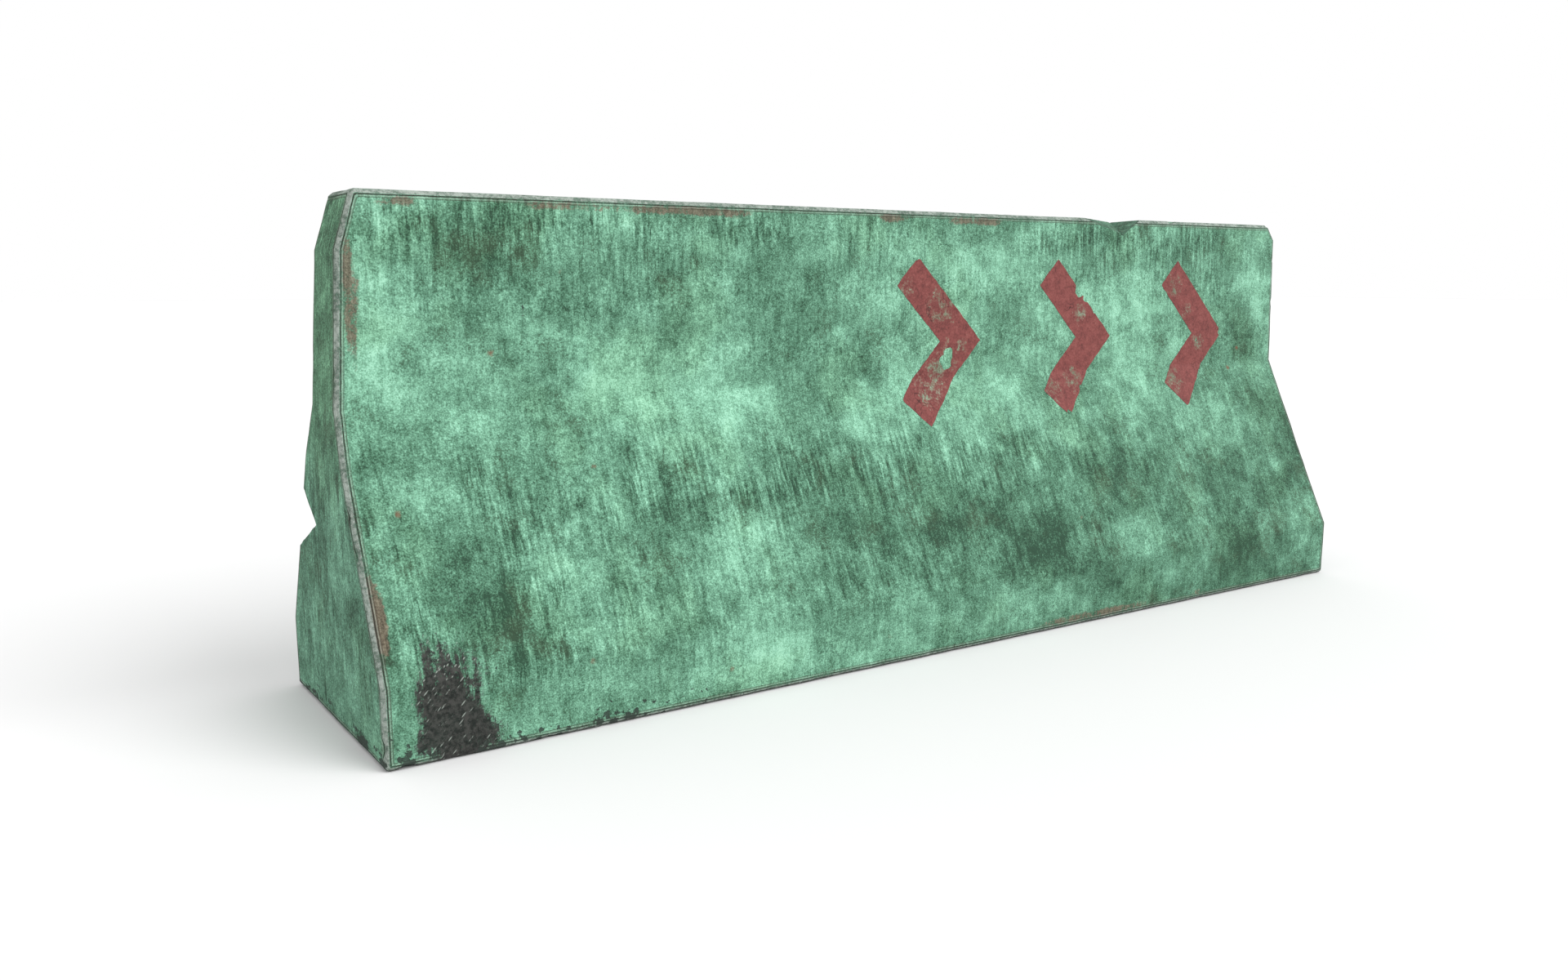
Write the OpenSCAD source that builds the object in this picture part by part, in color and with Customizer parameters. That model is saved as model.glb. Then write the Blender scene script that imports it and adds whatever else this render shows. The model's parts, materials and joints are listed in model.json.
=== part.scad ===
// Precast concrete safety barrier segment of the New Jersey profile, with its
// reinforcement cage, cast-in lifting sockets and painted chevrons.
// Millimetres. X runs along the segment, the painted face looks to -Y and Z is up.
// The origin is the middle of the underside.

/* [Concrete body] */
// Length of the segment
length = 2730; // [2000:10:3600]
// Height of the segment
height = 1000; // [820:10:1250]
// Width across the foot
base_w = 600; // [540:10:720]
// Width where the slope meets the stem
waist_w = 166; // [166:2:220]
// Width across the top
top_w = 146; // [142:2:166]
// Height of the upright toe
toe_h = 147; // [100:1:190]
// Height where the slope meets the stem
waist_z = 608; // [500:1:640]
// Leg of the worn chamfer on every outer edge
arris = 8; // [3:1:12]

/* [Worn ends] */
// How far below the top the left end starts to lean inwards
lean_drop = 500; // [300:10:600]
// Level, below the top, where the lean gets steeper
lean_mid_drop = 107; // [60:1:200]
// Lean of the left end at that level
lean_mid = 25; // [5:1:40]
// Lean of the left end at the top
lean_top = 58; // [45:1:80]
// Height of the broken corner at the right end of the top
corner_h = 44; // [20:1:50]
// Length of that broken corner
corner_l = 33; // [10:1:60]

/* [Spalls] */
// Distance of the top spall's left point from the right end
spall_end = 819; // [400:1:1400]
// Length of the top spall along the front edge
spall_l = 230; // [60:5:300]
// Distance from its left point to its deepest point on the front face
spall_tip_x = 157; // [30:1:200]
// Depth of that point below the top
spall_tip_drop = 43; // [15:1:70]
// Distance from its left point to its point on the back edge of the top
spall_back_x = 269; // [100:1:320]
// Upper level of the notch broken out of the back edge of the left end
notch_top_z = 444; // [380:1:480]
// Lower level of that notch
notch_low_z = 308; // [240:1:330]
// Level of its deepest point
notch_z = 377; // [335:1:378]
// Distance of its deepest point behind the middle plane
notch_y = 71; // [40:1:120]
// Distance that the notch runs along the back slope
notch_l = 90; // [30:5:160]

/* [Chevrons] */
// Distance of the last chevron's tip from the right end
chevron_end = 235; // [50:1:400]
// Distance from one chevron to the next
chevron_pitch = 466; // [420:1:600]
// How far below the top the chevrons' middle line runs
chevron_drop = 305; // [260:5:400]
// Rise of each arm above or below the middle line
chevron_rise = 200; // [120:5:220]
// Width of each arm, square to it
chevron_arm_w = 95; // [40:1:110]
// Thickness of the marking film
film_t = 0.8; // [0.4:0.1:2]

/* [Reinforcement] */
// Concrete cover outside the links
cover = 32; // [25:1:40]
// Diameter of the link bars
link_d = 10; // [8:1:12]
// Bend radius of the links at the bar's middle
link_bend_r = 25; // [22:1:28]
// Number of links
link_n = 10; // [8:2:14]
// Distance from an end face to the nearest link
link_end = 110; // [90:5:160]
// Diameter of the long bars
bar_d = 12; // [8:1:14]
// Distance from an end face to the end of a long bar
bar_end = 75; // [60:5:85]
// Distance of the top pair of long bars below the lower ends of the lifting sockets
top_bar_drop = 10; // [2:1:40]
// Gap between a long bar and the links it is tied to
tie_gap = 0.6; // [0.5:0.1:0.9]
// Clearance between steel or plastic and the concrete cast round it
cast_gap = 0.1; // [0.05:0.01:0.2]
// Diameter of the tying wire
wire_d = 1.6; // [1.2:0.1:2]

/* [Cover spacers] */
// Thickness of a wheel spacer
spacer_t = 12; // [8:1:20]
// Skin of concrete between a wheel spacer's rim and the surface
spacer_skin = 2; // [1:0.5:5]
// Least distance between the two spacers on the stem of one link
spacer_apart = 2; // [1:1:6]
// Every how many links carry spacers
spacer_step = 3; // [1:1:4]

/* [Lifting sockets] */
// Number of link spaces from the middle of the segment to each socket
socket_space = 3; // [1:1:3]
// Outer diameter of a socket
socket_d = 31; // [27:1:42]
// Length of a socket
socket_l = 120; // [105:5:160]
// Wall diameter of the threaded bore
thread_d = 21; // [20:0.5:22]
// Length of the threaded bore
thread_l = 50; // [30:5:60]
// Drilled depth below the thread
drill_l = 18; // [5:1:20]
// Diameter of the drilled hole below the thread
drill_d = 19.5; // [12:0.5:19.5]
// Diameter of the plain mouth above the thread
mouth_d = 25; // [23:0.5:26]
// Depth of the plain mouth
mouth_l = 12; // [8:1:14]
// Diameter of the recess in the concrete above a socket
recess_d = 52; // [44:1:60]
// Depth of that recess
recess_l = 10; // [8:1:14]
// Distance of the cross hole above the socket's lower end
cross_up = 15; // [12:1:18]
// Running clearance of the tail bar in the cross hole
cross_gap = 0.3; // [0.2:0.1:0.5]
// Diameter of the tail bar
tail_d = 12; // [8:1:14]
// Bend radius of the tail bar at its middle
tail_bend_r = 30; // [24:1:36]
// Length of each straight leg of the tail bar
tail_leg = 320; // [150:10:360]

/* [Socket plugs] */
// Thickness of a plug's head
plug_head_t = 7.5; // [5:0.5:8]
// Length of the plug's stem inside the socket's mouth
plug_stem_l = 10; // [5:1:11]
// Bore of the plug's hollow stem
plug_bore_d = 18; // [12:1:20]
// Clearance round the plug
plug_gap = 0.3; // [0.2:0.1:0.6]
// Length of the lever slot across the head
plug_slot_l = 30; // [16:1:34]
// Width of the lever slot
plug_slot_w = 4; // [2:0.5:6]
// Depth of the lever slot
plug_slot_t = 3; // [1:0.5:4]

/* [Hidden] */
LINKS = [for (i = [1:link_n]) str("link_", i)];
BARS = ["base_bar_front", "base_bar_back", "toe_bar_front", "toe_bar_back",
        "waist_bar_front", "waist_bar_back", "top_bar_front", "top_bar_back"];
SIDES = ["left", "right"];
SOCKETS = [for (s = SIDES) str("lifting_socket_", s)];
TAILS = [for (s = SIDES) str("tail_bar_", s)];
PLUGS = [for (s = SIDES) str("socket_plug_", s)];
CHEVRONS = [for (i = [1:3]) str("chevron_", i)];
$fn = 48;

link_r = link_d / 2;
bar_r = bar_d / 2;
tail_r = tail_d / 2;
socket_r = socket_d / 2;
spacer_r = cover + link_r - spacer_skin;
link_pitch = (length - 2 * link_end) / (link_n - 1);
link_xs = [for (i = [0:link_n - 1]) -length / 2 + link_end + i * link_pitch];
socket_x = socket_space * link_pitch;
socket_top = height - recess_l;
thread_top = socket_top - mouth_l;
cross_z = socket_top - socket_l + cross_up;
chevron_z = height - chevron_drop;
top_bar_z = socket_top - socket_l - bar_r - top_bar_drop;
over = 5; // how far a cutting shape runs past the surface it cuts
bend_lap = 0.5; // how far a straight stretch of bent bar runs into its bends
bend_extra = 0.02; // how much thicker the bends are than the straight stretches
ring_share = 0.735; // size of a tie, as a share of the bars it holds
ring_slack = 0.2; // room between a tie and those bars
base_share = 1 / 4; // how far along the base leg its spacers sit

// ---- Outline of the segment ----

function half_w(z) = lookup(z, [[toe_h, base_w / 2], [waist_z, waist_w / 2], [height, top_w / 2]]);
function left_x(z) = lookup(z, [[height - lean_drop, 0], [height - lean_mid_drop, lean_mid],
                                [height, lean_top]]) - length / 2;
function right_x(z) = length / 2 - lookup(z, [[height - corner_h, 0], [height, corner_l]]);

function sorted(v) = len(v) < 2 ? v :
    let (rest = [for (i = [1:len(v) - 1]) v[i]])
    concat(sorted([for (a = rest) if (a < v[0]) a]), [v[0]],
           sorted([for (a = rest) if (a >= v[0]) a]));

// Eight corners of the body at one level, drawn in by inset on every side
function ring(z, inset) =
    let (y = half_w(z) - inset, a = left_x(z) + inset, b = right_x(z) - inset, c = arris)
    [[a + c, -y, z], [b - c, -y, z], [b, c - y, z], [b, y - c, z],
     [b - c, y, z], [a + c, y, z], [a, y - c, z], [a, c - y, z]];

module cast_block() {
    levels = sorted([arris, toe_h, waist_z, height - lean_drop, height - lean_mid_drop,
                     height - corner_h, height - arris]);
    points = [for (p = ring(0, arris)) p,
              for (z = levels) for (p = ring(z, 0)) p,
              for (p = ring(height, arris)) p];
    top = 8 * (len(levels) + 1);
    sides = [for (k = [0:8:top - 1]) for (j = [0:7])
             [k + j, k + j + 8, k + (j + 1) % 8 + 8, k + (j + 1) % 8]];
    polyhedron(points, concat([[for (j = [0:7]) j]], sides, [[for (j = [7:-1:0]) top + j]]));
}

// Wedge broken away along the valley from p to q, as far as the rim points a and b
module spall(p, q, a, b) {
    reach = 3;
    mid = (p + q) / 2;
    far = [mid + reach * (p - mid), mid + reach * (q - mid),
           mid + reach * (a - mid), mid + reach * (b - mid)];
    hull() polyhedron(far, [[0, 1, 2], [0, 3, 1], [0, 2, 3], [1, 3, 2]]);
}

module top_spall() {
    x = length / 2 - spall_end;
    tip_z = height - spall_tip_drop;
    spall([x + spall_tip_x, -half_w(tip_z), tip_z], [x + spall_back_x, top_w / 2, height],
          [x, -top_w / 2, height], [x + spall_l, -top_w / 2, height]);
}

module end_notch() {
    spall([left_x(notch_z), notch_y, notch_z], [left_x(notch_z) + notch_l, half_w(notch_z), notch_z],
          [left_x(notch_top_z), half_w(notch_top_z), notch_top_z],
          [left_x(notch_low_z), half_w(notch_low_z), notch_low_z]);
}

// ---- Path of the links, as [y, z] points in the cross-section ----

outline = [[base_w, 0], [base_w, 2 * toe_h], [waist_w, 2 * waist_z], [top_w, 2 * height],
           [-top_w, 2 * height], [-waist_w, 2 * waist_z], [-base_w, 2 * toe_h], [-base_w, 0]] / 2;
corner_n = len(outline);

function unit(v) = v / norm(v);
function left_of(v) = [-v.y, v.x];
function edge_dir(i) = unit(outline[(i + 1) % corner_n] - outline[i]);
function before(i) = (i + corner_n - 1) % corner_n;
// Corner of the outline moved inwards by the cover and half a link bar
function link_corner(i) =
    let (n1 = left_of(edge_dir(before(i))), n2 = left_of(edge_dir(i)))
    outline[i] + (cover + link_r) * (n1 + n2) / (1 + n1 * n2);
// Turn at a corner, positive where the path bends round the inside
function turn(i) =
    let (u = edge_dir(before(i)), v = edge_dir(i))
    atan2(u.x * v.y - u.y * v.x, u * v);
function tangent(i) = link_bend_r * tan(abs(turn(i)) / 2);
function bend_in(i) = link_corner(i) - tangent(i) * edge_dir(before(i));
function bend_out(i) = link_corner(i) + tangent(i) * edge_dir(i);
function bend_centre(i) = bend_in(i) + sign(turn(i)) * link_bend_r * left_of(edge_dir(before(i)));
// Direction from the link to the long bar it holds at a corner
function bar_side(i) = -sign(turn(i)) * unit(link_corner(i) - bend_centre(i));
bar_to_link = link_r + bar_r + tie_gap;
function on_bend(i) = bend_centre(i) - sign(turn(i)) * link_bend_r * bar_side(i);

// Where long bars and links cross, as [point on the link, direction to the bar],
// for the back half; mirrored for the front half
top_leg = bend_in(3) + edge_dir(2) * (top_bar_z - bend_in(3).y) / edge_dir(2).y;
seats = [[on_bend(0), bar_side(0)], [on_bend(1), bar_side(1)], [on_bend(2), bar_side(2)],
         [top_leg, left_of(edge_dir(2))]];
function seat_bar(s) = s[0] + bar_to_link * s[1];

// Draws its children, made in the cross-section's own plane, at a place along the segment
module at_section(x) {
    translate([x, 0, 0]) rotate([90, 0, 90]) children();
}

// The two stretches of a bent bar. Both ends of a straight one lap into its bends, which
// are a hair thicker, so that the two join cleanly.
module straight(a, b, r) {
    d = b - a;
    translate([a.x, a.y, 0]) rotate([0, 0, atan2(d.y, d.x)]) translate([-bend_lap, 0, 0])
        rotate([0, 90, 0]) cylinder(h = norm(d) + 2 * bend_lap, r = r);
}

module bend(c, from, sweep, bend_r, r) {
    translate([c.x, c.y, 0]) rotate([0, 0, from]) rotate_extrude(angle = sweep)
        translate([bend_r, 0]) circle(r + bend_extra);
}

// ---- Reinforcement ----

module link_bar(x, grow = 0) {
    at_section(x) for (i = [0:corner_n - 1]) {
        c = bend_centre(i);
        start = (turn(i) > 0 ? bend_in(i) : bend_out(i)) - c;
        bend(c, atan2(start.y, start.x), abs(turn(i)), link_bend_r, link_r + grow);
        straight(bend_out(i), bend_in((i + 1) % corner_n), link_r + grow);
    }
}

// One long bar; side is 1 for the back and -1 for the front
module long_bar(seat, side, grow = 0) {
    p = seat_bar(seat);
    stop = bar_end + (p.y > height - lean_drop ? left_x(p.y) + length / 2 : 0);
    translate([stop - length / 2 - grow, side * p.x, p.y]) rotate([0, 90, 0])
        cylinder(h = length - bar_end - stop + 2 * grow, r = bar_r + grow);
}

// Ring of wire round a link and a long bar, on the diagonal between them
module tie(x, seat, side) {
    ring_r = (link_r + 2 * bar_r + tie_gap) * ring_share + wire_d / 2 + ring_slack;
    mid = seat[0] + (seat_bar(seat) - seat[0]) / 2;
    lean = atan2(seat[1].y, side * seat[1].x);
    translate([x, side * mid.x, mid.y]) rotate([lean, 0, 0]) rotate([0, 45, 0]) rotate([90, 0, 0])
        rotate([0, 90, 0]) rotate_extrude() translate([ring_r, 0]) circle(wire_d / 2, $fn = 16);
}

function part_way(a, b, share) = a + share * (b - a);

// Places its children on the links that carry spacers: square to the base, slope and stem legs.
// In a narrow stem the back one moves down and the front one up, just far enough to pass.
module at_spacers() {
    stem = part_way(bend_out(2), bend_in(3), 1 / 2);
    apart = sqrt(max(0, pow(2 * spacer_r + spacer_apart, 2) - pow(2 * stem.x, 2)));
    for (k = [0:spacer_step:link_n - 1]) for (side = [-1, 1]) {
        places = [[part_way(bend_in(0), bend_out(before(0)), base_share), edge_dir(before(0))],
                  [part_way(bend_out(1), bend_in(2), 1 / 2), edge_dir(1)],
                  [stem - side * apart / 2 * edge_dir(2), edge_dir(2)]];
        for (p = places)
            translate([link_xs[k], side * p[0].x, p[0].y])
                rotate([atan2(p[1].y, side * p[1].x), 0, 0])
                rotate([90, 0, 0]) translate([0, 0, -spacer_t / 2]) children();
    }
}

module spacer_disc(grow = 0) {
    translate([0, 0, -grow]) cylinder(h = spacer_t + 2 * grow, r = spacer_r + grow);
}

// ---- Lifting gear, drawn on its own axis with z as the height ----

module at_socket(side) {
    translate([side * socket_x, 0, 0]) children();
}

module tail_bar(grow = 0) {
    r = tail_r + grow;
    reach = socket_r + 1;
    rotate([90, 0, 0]) {
        straight([-reach, cross_z], [reach, cross_z], r);
        bend([reach, cross_z - tail_bend_r], 0, 90, tail_bend_r, r);
        bend([-reach, cross_z - tail_bend_r], 90, 90, tail_bend_r, r);
        for (s = [-1, 1])
            straight([s * (reach + tail_bend_r), cross_z - tail_bend_r],
                     [s * (reach + tail_bend_r), cross_z - tail_bend_r - tail_leg - grow], r);
    }
}

module socket_hollow() {
    translate([0, 0, socket_top - socket_l - cast_gap]) cylinder(h = socket_l + 2 * cast_gap,
                                                                r = socket_r + cast_gap);
    translate([0, 0, socket_top]) cylinder(h = recess_l + over, r = recess_d / 2);
}

module socket() {
    difference() {
        translate([0, 0, socket_top - socket_l]) cylinder(h = socket_l, r = socket_r);
        translate([0, 0, thread_top]) cylinder(h = mouth_l + over, r = mouth_d / 2);
        translate([0, 0, thread_top - thread_l]) cylinder(h = thread_l + over, r = thread_d / 2);
        translate([0, 0, thread_top - thread_l - drill_l])
            cylinder(h = drill_l + over, r = drill_d / 2);
        translate([-socket_d, 0, cross_z]) rotate([0, 90, 0])
            cylinder(h = 2 * socket_d, r = tail_r + cross_gap);
    }
}

module plug() {
    head_r = recess_d / 2 - plug_gap;
    stem_r = mouth_d / 2 - plug_gap;
    edge = 1;
    seat_z = socket_top + plug_gap;
    difference() {
        translate([0, 0, seat_z]) rotate_extrude()
            polygon([[plug_bore_d / 2, -plug_stem_l], [stem_r - edge, -plug_stem_l],
                     [stem_r, edge - plug_stem_l], [stem_r, 0], [head_r, 0],
                     [head_r, plug_head_t - edge], [head_r - edge, plug_head_t],
                     [0, plug_head_t], [0, edge], [plug_bore_d / 2, edge]]);
        translate([-plug_slot_l / 2, -plug_slot_w / 2, seat_z + plug_head_t - plug_slot_t])
            cube([plug_slot_l, plug_slot_w, plug_slot_t + over]);
    }
}

// ---- Nodes ----

module concrete_body() {
    color("#5f9c83") difference() {
        cast_block();
        top_spall();
        end_notch();
        for (x = link_xs) link_bar(x, cast_gap);
        for (s = seats) for (side = [-1, 1]) long_bar(s, side, cast_gap);
        at_spacers() spacer_disc(cast_gap);
        for (side = [-1, 1]) at_socket(side) {
            socket_hollow();
            tail_bar(cast_gap);
        }
    }
}

module tie_wires() {
    color("dimgray") for (x = link_xs) for (s = seats) for (side = [-1, 1]) tie(x, s, side);
}

module cover_spacers() {
    color("gainsboro") at_spacers() difference() {
        spacer_disc();
        translate([0, 0, -over]) cylinder(h = spacer_t + 2 * over, r = link_r + cast_gap);
    }
}

// One painted arrow, cut out of a film that follows the front surface
module chevron(i) {
    k = chevron_arm_w / sqrt(2);
    a = chevron_rise;
    low = chevron_z - a - over;
    high = chevron_z + a + over;
    zs = [low, if (waist_z > low && waist_z < high) waist_z, high];
    skin = [for (z = zs) [-half_w(z), z],
            for (j = [len(zs) - 1:-1:0]) [-half_w(zs[j]) - film_t, zs[j]]];
    color("#a3565c") intersection() {
        translate([-length / 2, 0, 0]) rotate([90, 0, 90]) linear_extrude(length) polygon(skin);
        translate([length / 2 - chevron_end - (2 - i) * chevron_pitch, 0, chevron_z])
            rotate([90, 0, 0])
            linear_extrude(base_w) polygon([[0, 0], [-a, a], [-a - k, a - k], [-2 * k, 0],
                                            [-a - k, k - a], [-a, -a]]);
    }
}

concrete_body();
for (i = [0:link_n - 1])
    color("saddlebrown") link_bar(link_xs[i]);
for (i = [0:len(BARS) - 1])
    color("sienna") long_bar(seats[floor(i / 2)], i % 2 == 0 ? -1 : 1);
tie_wires();
cover_spacers();
for (i = [0, 1]) {
    color("silver") at_socket(2 * i - 1) socket();
    color("peru") at_socket(2 * i - 1) tail_bar();
    color("#2b2b2b") at_socket(2 * i - 1) plug();
}
for (i = [0:len(CHEVRONS) - 1])
    chevron(i);
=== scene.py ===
"""Looks of the precast concrete barrier segment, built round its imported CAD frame.

X runs along the segment, the face with the red markings looks to -Y and Z is up, in metres.
"""

import json
import math

import bmesh
import bpy
import numpy as np
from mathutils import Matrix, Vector, noise


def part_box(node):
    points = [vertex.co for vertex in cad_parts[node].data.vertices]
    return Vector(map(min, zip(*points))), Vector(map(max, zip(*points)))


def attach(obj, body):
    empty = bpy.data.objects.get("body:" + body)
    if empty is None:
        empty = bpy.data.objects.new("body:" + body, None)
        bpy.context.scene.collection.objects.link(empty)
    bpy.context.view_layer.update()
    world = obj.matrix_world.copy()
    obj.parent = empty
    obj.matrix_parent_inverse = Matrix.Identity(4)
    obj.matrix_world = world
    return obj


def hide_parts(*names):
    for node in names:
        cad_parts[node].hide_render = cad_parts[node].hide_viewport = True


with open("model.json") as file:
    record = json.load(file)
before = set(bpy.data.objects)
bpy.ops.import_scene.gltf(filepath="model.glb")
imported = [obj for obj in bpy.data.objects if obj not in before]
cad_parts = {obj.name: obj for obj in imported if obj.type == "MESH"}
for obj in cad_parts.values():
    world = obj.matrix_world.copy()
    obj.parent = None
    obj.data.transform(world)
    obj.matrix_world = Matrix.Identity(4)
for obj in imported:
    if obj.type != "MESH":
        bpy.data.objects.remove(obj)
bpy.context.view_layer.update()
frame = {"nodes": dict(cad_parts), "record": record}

# ---- Sizes taken from the frame ----
LOW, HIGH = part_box("concrete_body")
LENGTH = HIGH.x - LOW.x
HEIGHT = HIGH.z
FOOT = HIGH.y
SOCKETS = [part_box(f"lifting_socket_{side}") for side in ("left", "right")]
FILMS = [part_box(f"chevron_{k}") for k in (1, 2, 3)]

# ---- Profile and worn ends ----
TOE_Z, WAIST_Z = 0.147, 0.608
WAIST, TOP = 0.083, 0.073
LEAN_Z, LEAN_MID_Z = HEIGHT - 0.500, HEIGHT - 0.107
LEAN_MID, LEAN_TOP = 0.025, 0.058
CORNER_H, CORNER_L = 0.044, 0.033

# ---- Broken places ----
SPALL_X = HIGH.x - 0.819
SPALL_L, SPALL_TIP, SPALL_BACK = 0.230, 0.157, 0.269
SPALL_DROP = 0.043
NOTCH_TOP, NOTCH_LOW, NOTCH_Z = 0.444, 0.308, 0.377
NOTCH_Y, NOTCH_L = 0.071, 0.090
FACET, ROUGHNESS = 0.014, 0.0022
RECESS_R = 0.026
RECESS_L = 0.010
SEAT_GAP = 0.0001
HOLE_SIDES = 64
# Places of the body's materials: the paint is 0
BROKEN, BARE = 1, 2

# ---- Surface ----
# Rows of the grid, by their distance from an arris
NEAR = [0, 0.0015, 0.003, 0.0048, 0.0065, 0.0085, 0.011, 0.014, 0.018, 0.024]
BAND = NEAR[-1]
STEP_X, STEP_Y, STEP_Z = 0.013, 0.018, 0.013
# Rows on both sides of a fold in the profile
FOLD_ROWS = [-0.007, -0.003, 0, 0.003, 0.007]
ARRIS = 0.0085
ARRIS_SPREAD = 0.0024
ARRIS_POWER = 1.25
# A chip is where the noise passes its limit
CHIP_LIMIT, CHIP_SIZE = 0.38, 0.030
SINK = 0.0009
SHARP_ANGLE = math.radians(40)
# How far the red films stand out of the paint, and reach into it
FILM_TOP = 0.0006
FILM_DEEP = 0.0004
# Width of a cell in a film's grid
FILM_STEP = 0.004
# How much the light brightens the front
BRIGHT = 1.50


def rgb(r, g, b):
    """Surface colour that looks like this sRGB colour, in 0 to 255, on the lit front."""
    def lin(c):
        c /= 255
        return (c / 12.92 if c <= 0.04045 else ((c + 0.055) / 1.055) ** 2.4) / BRIGHT
    return (lin(r), lin(g), lin(b), 1)


# ---- Outline of the segment ----

def half_w(z):
    """Half the width at that height."""
    return np.interp(z, [TOE_Z, WAIST_Z, HEIGHT], [FOOT, WAIST, TOP])


def left_x(z):
    """Where the left end lies at that height; it leans in towards the top."""
    return LOW.x + np.interp(z, [LEAN_Z, LEAN_MID_Z, HEIGHT], [0, LEAN_MID, LEAN_TOP])


def right_x(z):
    """Where the right end lies at that height; its top corner is broken."""
    return HIGH.x - np.interp(z, [HEIGHT - CORNER_H, HEIGHT], [0, CORNER_L])


def fbm(p, scale, octaves=3):
    """Layered noise from about -1 to 1; scale is in waves per metre."""
    total, size = 0.0, 1.0
    for k in range(octaves):
        total += size * noise.noise(Vector(p) * scale * 2 ** k)
        size /= 2
    return total


def sink(p):
    """How far the cast surface lies inside the ideal one."""
    return SINK * (0.5 + 0.5 * max(-1, min(1, fbm(p, 7, 2) * 1.4)))


def arris_radius(p):
    """Size of the worn arris, with a few shallow chips."""
    worn = ARRIS + ARRIS_SPREAD * fbm(p, 9, 3)
    chip = max(0, noise.noise(Vector(p) * 26 + Vector((3, 1, 7))) - CHIP_LIMIT) * CHIP_SIZE
    return worn + chip


# ---- Mesh helpers ----

def new_object(name, mesh, materials=()):
    """An object at the origin with that mesh and those materials."""
    obj = bpy.data.objects.new(name, mesh)
    bpy.context.scene.collection.objects.link(obj)
    for m in materials:
        mesh.materials.append(m)
    return obj


def shade(mesh):
    """Smooth shading, but for the sharp edges."""
    mesh.shade_smooth()
    mesh.set_sharp_from_angle(angle=SHARP_ANGLE)


def points_of(mesh):
    """The places of a mesh's vertices, as an array of rows."""
    p = np.zeros(len(mesh.vertices) * 3)
    mesh.vertices.foreach_get("co", p)
    return p.reshape(-1, 3)


def store(mesh, name, values):
    """Keeps one number for each vertex, which a material reads by that name."""
    layer = mesh.attributes.new(name, "FLOAT", "POINT")
    layer.data.foreach_set("value", values.astype(np.float32))


def stations(count):
    """Places from 0 to 1 along one side: [distance from the low edge, share of the rest]."""
    inner = [(BAND, k / count) for k in range(1, count)]
    return [(d, 0) for d in NEAR] + inner + [(2 * BAND - d, 1) for d in reversed(NEAR)]


def levels():
    """Heights of the rows, closer near the arrises and the folds of the profile."""
    folds = [TOE_Z, WAIST_Z, HEIGHT - CORNER_H, LEAN_MID_Z]
    fine = NEAR + [HEIGHT - d for d in NEAR]
    for fold in folds:
        fine += [fold + d for d in FOLD_ROWS]
    coarse = np.arange(BAND, HEIGHT - BAND, STEP_Z)
    far = [z for z in coarse if min(abs(z - f) for f in fine) > STEP_Z * 0.4]
    return np.array(sorted(fine + far))


def cast_surface():
    """Vertices and faces of the worn block: one grid over its six sides with shared borders."""
    xs = stations(round(LENGTH / STEP_X))
    ys = stations(round(2 * FOOT / STEP_Y))
    zs = levels()
    nx, ny, nz = len(xs), len(ys), len(zs)
    index, points = {}, []

    def vertex(i, j, k):
        if (i, j, k) not in index:
            z = zs[k]
            w, a, b = half_w(z), left_x(z), right_x(z)
            x = a + xs[i][0] + xs[i][1] * (b - a - 2 * BAND)
            y = -w + ys[j][0] + ys[j][1] * (2 * w - 2 * BAND)
            index[i, j, k] = len(points)
            points.append((x, y, z))
        return index[i, j, k]

    faces = []

    def quad(a, b, c, d):
        faces.append([vertex(*a), vertex(*b), vertex(*c), vertex(*d)])

    for i in range(nx - 1):
        for k in range(nz - 1):
            quad((i, 0, k), (i + 1, 0, k), (i + 1, 0, k + 1), (i, 0, k + 1))
            quad((i, ny - 1, k), (i, ny - 1, k + 1), (i + 1, ny - 1, k + 1), (i + 1, ny - 1, k))
        for j in range(ny - 1):
            quad((i, j, 0), (i, j + 1, 0), (i + 1, j + 1, 0), (i + 1, j, 0))
            quad((i, j, nz - 1), (i + 1, j, nz - 1), (i + 1, j + 1, nz - 1), (i, j + 1, nz - 1))
    for j in range(ny - 1):
        for k in range(nz - 1):
            quad((0, j, k), (0, j, k + 1), (0, j + 1, k + 1), (0, j + 1, k))
            quad((nx - 1, j, k), (nx - 1, j + 1, k), (nx - 1, j + 1, k + 1), (nx - 1, j, k + 1))
    return np.array(points), faces


def inset_distances(p):
    """Distances of points from the ends, the sides, and the top or bottom, and the way inwards."""
    x, y, z = p.T
    w, a, b = half_w(z), left_x(z), right_x(z)
    near_left = x - a < b - x
    near_low = z < HEIGHT - z
    dist = np.stack([np.minimum(x - a, b - x), w - np.abs(y), np.minimum(z, HEIGHT - z)], 1)
    inward = np.stack([np.where(near_left, 1, -1), np.where(y < 0, 1, -1),
                       np.where(near_low, 1, -1)], 1)
    return dist, inward


def wear_arrises(p):
    """Rounds the outer edges by an amount that varies along them."""
    dist, inward = inset_distances(p)
    radius = np.array([arris_radius(q) for q in p])[:, None]
    short = np.maximum(radius - dist, 0)
    size = (short ** ARRIS_POWER).sum(1, keepdims=True) ** (1 / ARRIS_POWER)
    kept = short * radius / np.maximum(size, radius)
    return p + inward * (short - kept)


def cast_block():
    """Mesh of the whole block, before anything is broken off or drilled."""
    points, faces = cast_surface()
    points = wear_arrises(points)
    mesh = bpy.data.meshes.new("concrete_visual")
    mesh.from_pydata(points.tolist(), [], faces)
    mesh.update()
    normals = [v.normal.copy() for v in mesh.vertices]
    for v, n in zip(mesh.vertices, normals):
        v.co -= n * sink(v.co)
    return mesh


# ---- Cutters for the broken places and the socket recesses ----

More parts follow.
